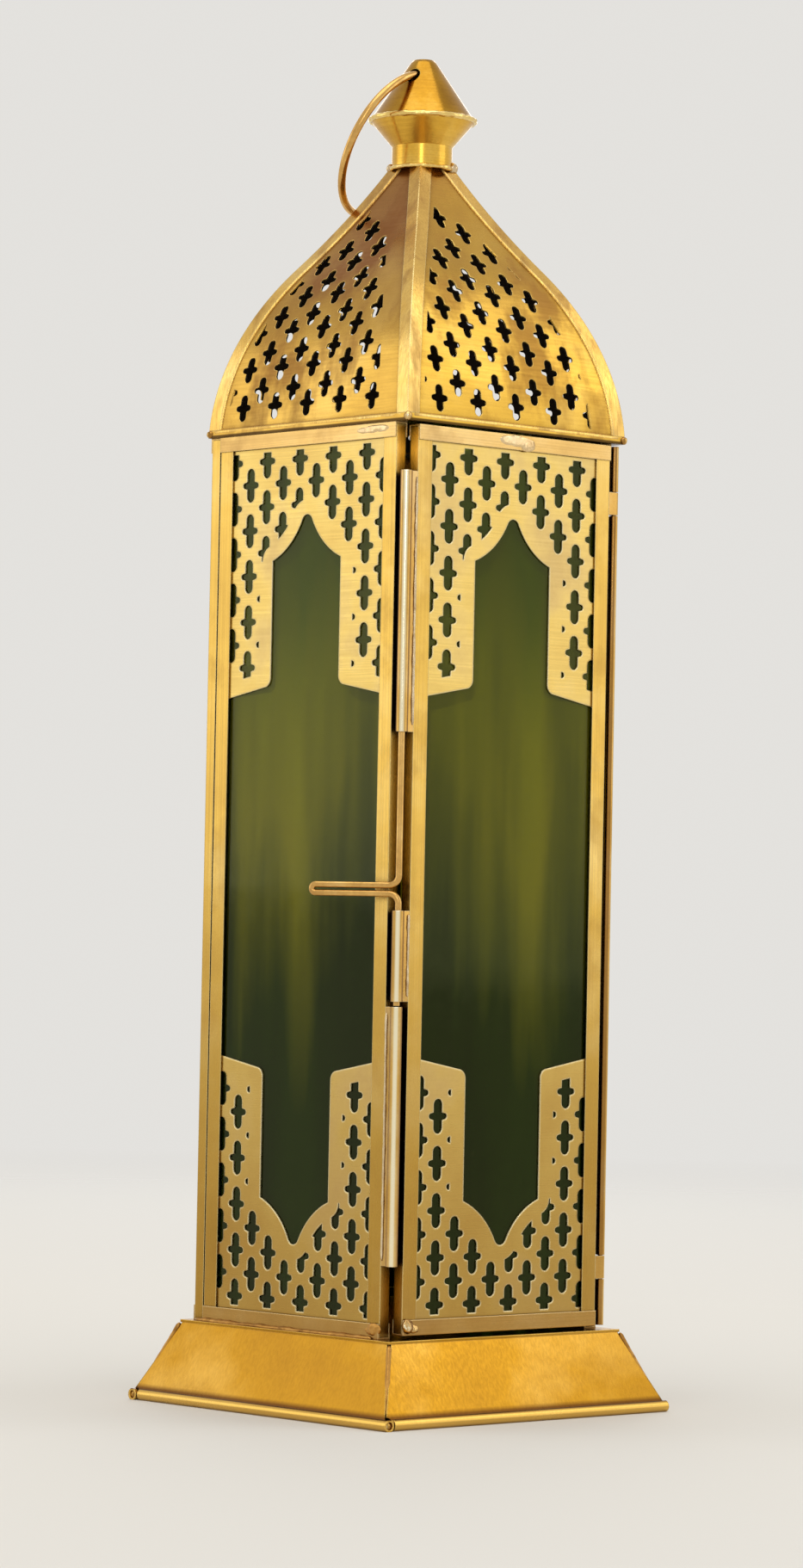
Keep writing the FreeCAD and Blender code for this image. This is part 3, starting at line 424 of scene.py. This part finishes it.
def greenGlass(look):
    material = bpy.data.materials.new("greenGlass")
    material.use_nodes = True
    tree = material.node_tree
    shader = tree.nodes["Principled BSDF"]
    where = addNode(tree, "TexCoord").outputs["Object"]
    bands = noise(tree, stretched(tree, where, look["streak"]), 1.0, 3.0, 0.5)
    height = addNode(tree, "SeparateXYZ", {0: where}).outputs["Z"]
    level = maths(tree, "ADD", height, remap(tree, bands, 0.3, 0.7, -look["wander"], look["wander"]))
    bottom, top = look["lacquerAndReflectionTints"][0][0], look["lacquerAndReflectionTints"][-1][0]
    climb = remap(tree, level, bottom, top, 0.0, 1.0)
    stops = [((place - bottom) / (top - bottom), tone(*chart)) for place, chart in look["lacquerAndReflectionTints"]]
    tint = ramp(tree, climb, stops)
    # the bands lighten and darken the tint: lacquer bands and painted reflections
    shade = ramp(tree, bands, [(0.36, (0.46, 0.52, 0.4, 1)), (0.66, (1.6, 1.5, 0.8, 1))])
    tint = mixed(tree, look["streakAndReflectionDepth"], tint, shade, "MULTIPLY")
    dust = noise(tree, where, 700.0, 3.0, 0.7)
    tint = mixed(tree, remap(tree, dust, 0.66, 0.74, 0.0, 0.16), tint, tone(*look["dustTone"]))
    # grime and painted shadow: the pane darkens where the plates lie close over it
    shelter = addNode(tree, "AmbientOcclusion", {"Distance": look["grimeAndShadowReach"]}, samples=4)
    grimeAndShadow = remap(tree, shelter.outputs["AO"], 0.9, 0.4, 0.0, 0.7)
    outside = maths(tree, "SUBTRACT", 1.0, addNode(tree, "NewGeometry").outputs["Backfacing"])
    tint = mixed(tree, maths(tree, "MULTIPLY", grimeAndShadow, outside), tint, tone(*look["grimeAndShadowTone"]))
    tree.links.new(tint, shader.inputs["Base Color"])
    shader.inputs["Transmission Weight"].default_value = look["see"]
    shader.inputs["IOR"].default_value = look["ior"]
    shader.inputs["Specular IOR Level"].default_value = look["gloss"]
    shader.inputs["Specular Tint"].default_value = tone(*look["glossTone"])
    film = noise(tree, where, 120.0, 5.0, 0.65)
    tree.links.new(remap(tree, film, 0.4, 0.75, *look["roughness"]), shader.inputs["Roughness"])
    ripple = noise(tree, where, 30.0, 2.0, 0.4)
    relief = addNode(tree, "Bump", {"Height": ripple, "Strength": 0.02, "Distance": 0.002})
    tree.links.new(relief.outputs["Normal"], shader.inputs["Normal"])
    return material


glass = greenGlass(glassLook)


# A finish for every node: the first whose word is in the node's name

finishes = {
    "_glass": glass,
    "_fret": brass["fretBrass"],
    "_stile": brass["stileBrass"],
    "_rail": brass["railBrass"],
    "base_skirt": brass["footBrass"],
    "floor_plate": brass["footBrass"],
    "candle_cup": brass["footBrass"],
    "roof_rib": brass["ribBrass"],
    "roof_petal_left": brass["petalBrown"],
    "roof_petal_right": brass["petalBrown"],
    "roof_petal": brass["petalGold"],
    "roof_seat": brass["petalGold"],
    "finial_cone": brass["finialBrass"],
    "finial_": brass["funnelReflectionBrass"],
    "hanging_ring": brass["wireBrass"],
    "latch_bolt": brass["wireBrass"],
    "hinge_pin": brass["wireBrass"],
    "_tube": brass["tubeBrass"],
    "_knuckles": brass["tubeBrass"],
}
for name, node in nodes.items():
    finish = next(material for part, material in finishes.items() if part in name)
    for slotPlace in node.material_slots:
        slotPlace.material = finish
print("finishes set on", len(nodes), "nodes")


# Solder and crimped edges

lumpSet = {"layers": 2, "middle": 0.5}


def roughen(piece, grain, depth):
    cloud = bpy.data.textures.new(piece.name + "Cloud", "CLOUDS")
    cloud.noise_scale = grain
    cloud.noise_depth = lumpSet["layers"]
    lumps = piece.modifiers.new("lumps", "DISPLACE")
    lumps.texture = cloud
    lumps.strength = depth
    lumps.mid_level = lumpSet["middle"]
    bpy.ops.object.modifier_apply(modifier=lumps.name)


def settle(piece, name, grain, depth, finish, body):
    piece.name = name
    piece.data.name = name
    bpy.ops.object.transform_apply(location=True, rotation=True, scale=True)
    roughen(piece, grain, depth)
    bpy.ops.object.shade_smooth()
    piece.data.materials.append(finish)
    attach(piece, body)


rodSet = {"sides": 10, "tipShare": 0.25, "tipDraw": 0.45}


def solderRun(name, start, end, look, body, slotName, finish="paleSolder"):
    # a rod from end to end, cut along its length and drawn in at its tips, then made lumpy
    start, end = Vector(start), Vector(end)
    bpy.ops.object.select_all(action="DESELECT")
    bpy.ops.mesh.primitive_cylinder_add(vertices=rodSet["sides"], radius=look["radius"],
                                        depth=(end - start).length)
    piece = bpy.context.object
    bpy.ops.object.mode_set(mode="EDIT")
    bpy.ops.mesh.select_mode(type="EDGE")
    bpy.ops.mesh.select_all(action="DESELECT")
    bpy.ops.object.mode_set(mode="OBJECT")
    points = piece.data.vertices
    for edge in piece.data.edges:
        low, high = (points[corner].co.z for corner in edge.vertices)
        edge.select = abs(low - high) > look["radius"]
    bpy.ops.object.mode_set(mode="EDIT")
    bpy.ops.mesh.subdivide(number_cuts=look["cuts"])
    bpy.ops.mesh.select_mode(type="VERT")
    bpy.ops.mesh.select_all(action="DESELECT")
    bpy.ops.object.mode_set(mode="OBJECT")
    tip = (end - start).length / 2 - look["radius"] * rodSet["tipShare"]
    for point in piece.data.vertices:
        point.select = abs(point.co.z) > tip
    bpy.ops.object.mode_set(mode="EDIT")
    bpy.ops.transform.resize(value=(rodSet["tipDraw"], rodSet["tipDraw"], 1.0))
    bpy.ops.object.mode_set(mode="OBJECT")
    piece.location = (start + end) / 2
    piece.rotation_euler = (end - start).to_track_quat("Z", "Y").to_euler()
    settle(piece, name, look["grain"], look["depth"], brass[finish], body)


def solderBlob(name, place, spread, depth, finish, body):
    bpy.ops.object.select_all(action="DESELECT")
    bpy.ops.mesh.primitive_ico_sphere_add(subdivisions=blobSet["cuts"], radius=1.0, location=place)
    piece = bpy.context.object
    piece.scale = spread
    settle(piece, name, blobSet["grain"], depth, brass[finish], body)


ringSet = {"around": 160, "across": 10}


def crimpedRing(name, look, finish):
    bpy.ops.object.select_all(action="DESELECT")
    bpy.ops.mesh.primitive_torus_add(major_radius=look["radius"], minor_radius=look["wire"],
                                     major_segments=ringSet["around"], minor_segments=ringSet["across"],
                                     location=(0, 0, look["height"]))
    piece = bpy.context.object
    piece.scale = (1.0, 1.0, look["squash"])
    settle(piece, name, look["grain"], look["depth"], finish, "lantern")


hemSet = {"radius": 0.0156, "wire": 0.0007, "height": 0.3819, "squash": 1.1,
          "grain": 0.0018, "depth": 0.0006}
collarSet = {"radius": 0.0090, "wire": 0.0005, "height": 0.3674, "squash": 1.2,
             "grain": 0.004, "depth": 0.0009}
crimpedRing("finialHem", hemSet, brass["hemBrass"])
crimpedRing("collarSolder", collarSet, brass["hemBrass"])

seamSet = {"radius": 0.0007, "cuts": 24, "grain": 0.003, "depth": 0.0003}
seamEnds = ((0.0461, 0.0229), (0.0538, 0.0040))     # distance from the axis planes, height
for corner, (sideX, sideY) in {"FrontLeft": (-1, -1), "FrontRight": (1, -1),
                               "BackRight": (1, 1), "BackLeft": (-1, 1)}.items():
    ends = [(sideX * out, sideY * out, height) for out, height in seamEnds]
    solderRun("seamFill" + corner, *ends, seamSet, "lantern", "foot_sheet", "seamSolder")

ledgeSet = {"radius": 0.0007, "cuts": 60, "grain": 0.005, "depth": 0.0009}
ledgeEnds = {
    "Left": ((-0.0438, -0.036, 0.0241), (-0.0438, 0.042, 0.0241)),
    "Back": ((-0.041, 0.0438, 0.0241), (0.041, 0.0438, 0.0241)),
    "Right": ((0.0438, 0.042, 0.0241), (0.0438, -0.036, 0.0241)),
}
for side, ends in ledgeEnds.items():
    solderRun("ledgeSolder" + side, *ends, ledgeSet, "lantern", "foot_sheet", "seamSolder")

# the tubes of the bolt are tacked along their leaves
tackSet = {"radius": 0.00045, "cuts": 50, "grain": 0.004, "depth": 0.0006}
tackEnds = {
    "Upper": ((-0.0390, -0.0430, 0.1990), (-0.0390, -0.0430, 0.2700), "door"),
    "Lower": ((-0.0390, -0.0430, 0.1215), (-0.0390, -0.0430, 0.1450), "door"),
    "Keeper": ((-0.0430, -0.0390, 0.0465), (-0.0430, -0.0390, 0.1170), "lantern"),
}
for tube, (low, high, body) in tackEnds.items():
    solderRun("tubeTack" + tube, low, high, tackSet, body, "rolled_strip")

# the rim of the roof is folded into a rounded lip
lipSet = {"radius": 0.0009, "cuts": 40, "grain": 0.012, "depth": 0.0003}
lipOut, lipHeight = 0.0430, 0.2877
for side, (start, end) in {
    "Front": ((-lipOut, -lipOut), (lipOut, -lipOut)), "Right": ((lipOut, -lipOut), (lipOut, lipOut)),
    "Back": ((lipOut, lipOut), (-lipOut, lipOut)), "Left": ((-lipOut, lipOut), (-lipOut, -lipOut)),
}.items():
    solderRun("rimLip" + side, (*start, lipHeight), (*end, lipHeight), lipSet,
              "lantern", "roof_sheet", "ribBrass")

blobSet = {
    "grain": 0.0026,
    "cuts": 4,
    # finish, body and slot of a group; name: place, half sizes, lumpiness
    "groups": [
        ("smearSolder", "door", "frame_strip", {
            "doorTopSmear": ((0.0000, -0.0434, 0.2834), (0.0070, 0.0004, 0.0017), 0.0007),
            "doorTopSpill": ((0.0042, -0.0434, 0.2824), (0.0032, 0.0004, 0.0018), 0.0007),
        }),
        ("tubeBrass", "door", "frame_strip", {
            "doorCornerBlob": ((-0.0368, -0.0436, 0.0278), (0.0022, 0.0011, 0.0021), 0.0016),
            "doorCornerDrip": ((-0.0346, -0.0435, 0.0271), (0.0020, 0.0008, 0.0013), 0.0012),
        }),
        ("seamSolder", "lantern", "frame_strip", {
            "leftCornerSmear": ((-0.0434, -0.0360, 0.0268), (0.0005, 0.0034, 0.0018), 0.001),
        }),
        ("smearSolder", "lantern", "frame_strip", {
            "leftTopSmear": ((-0.0434, -0.0290, 0.2842), (0.0004, 0.0070, 0.0011), 0.0007),
        }),
        ("paleSolder", "lantern", "finial_sheet", {
            "collarBlob": ((0.0064, -0.0066, 0.3677), (0.0018, 0.0018, 0.0019), 0.001),
            "collarBlobBack": ((-0.0060, 0.0068, 0.3676), (0.0015, 0.0015, 0.0014), 0.001),
        }),
        ("tubeBrass", "lantern", "roof_strip", {
            "rimBlobFrontLeft": ((-0.0434, -0.0434, 0.2872), (0.0011, 0.0011, 0.0013), 0.0007),
            "rimBlobFrontRight": ((0.0434, -0.0434, 0.2872), (0.0012, 0.0012, 0.0013), 0.0007),
            "rimBlobBackRight": ((0.0434, 0.0434, 0.2872), (0.0012, 0.0012, 0.0013), 0.0007),
            "rimBlobBackLeft": ((-0.0434, 0.0434, 0.2872), (0.0012, 0.0012, 0.0013), 0.0007),
        }),
        ("tubeBrass", "lantern", "foot_sheet", {
            "beadEndFront": ((0.0557, -0.0549, 0.0016), (0.0008, 0.0013, 0.0013), 0.0002),
            "beadEndRight": ((0.0549, 0.0557, 0.0016), (0.0013, 0.0008, 0.0013), 0.0002),
            "beadEndBack": ((-0.0557, 0.0549, 0.0016), (0.0008, 0.0013, 0.0013), 0.0002),
            "beadEndLeft": ((-0.0549, -0.0557, 0.0016), (0.0013, 0.0008, 0.0013), 0.0002),
        }),
    ],
}
for finish, body, slotName, blobs in blobSet["groups"]:
    for name, (place, spread, depth) in blobs.items():
        solderBlob(name, place, spread, depth, finish, body)
print("solder and crimped edges made")
